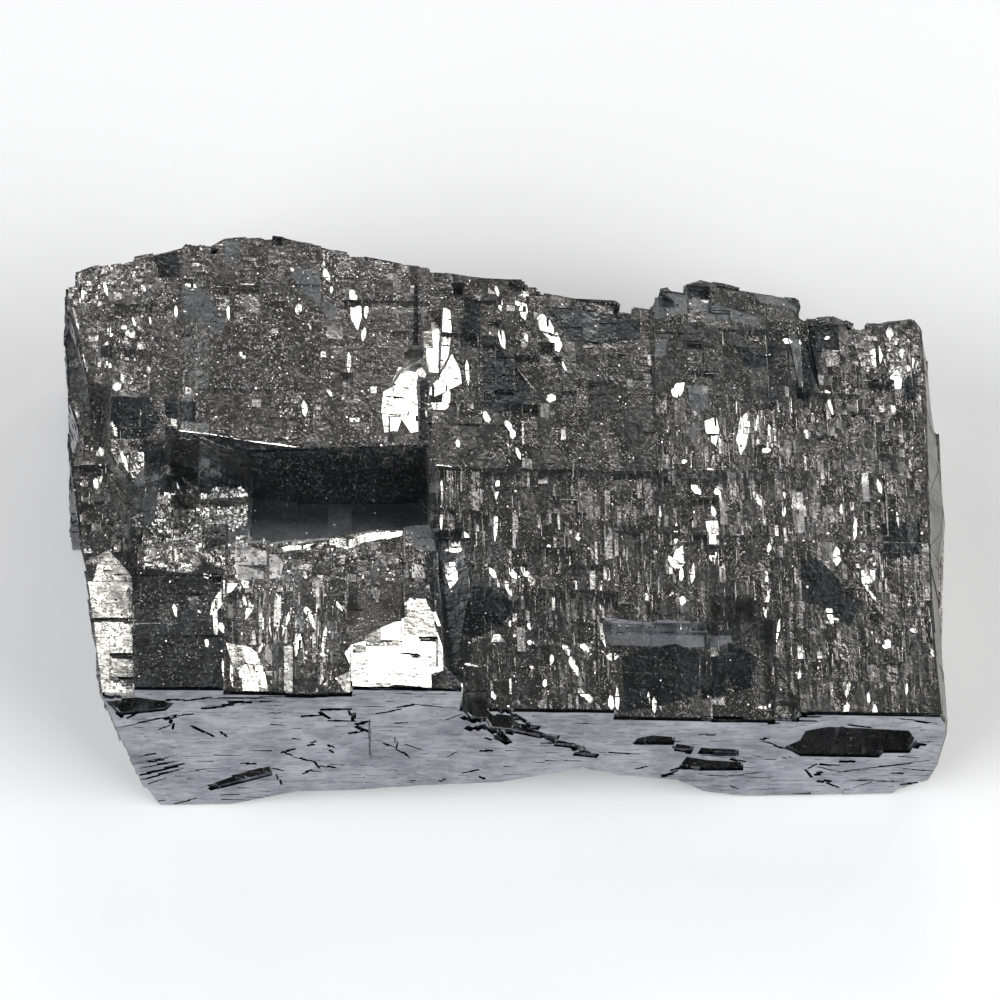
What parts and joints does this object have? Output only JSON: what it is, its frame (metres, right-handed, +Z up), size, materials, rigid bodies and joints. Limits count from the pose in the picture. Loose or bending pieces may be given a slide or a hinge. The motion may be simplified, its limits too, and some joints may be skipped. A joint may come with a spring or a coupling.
{
  "type": "galena specimen",
  "caption": "Rough rectangular cleavage block of bright lead-grey galena with stepped terraces, a sunken pocket and a flat mirror-like front face, for display on a shelf.",
  "frame": {"origin": "middle of the block's bounding box, on the flat bottom it rests on", "axes": "+Z up, +X to the right along the longest extent, +Y to the back; the long mirror-like cleavage face looks along -Y"},
  "size_m": [0.089, 0.0532, 0.0255],
  "materials": {
    "galena": "bright metallic cleavage faces, mirror-like on the front, with fine steps, striations and sparkling broken patches"
  },
  "bodies": {
    "root": {"galena_block": "galena"}
  },
  "joints": []
}
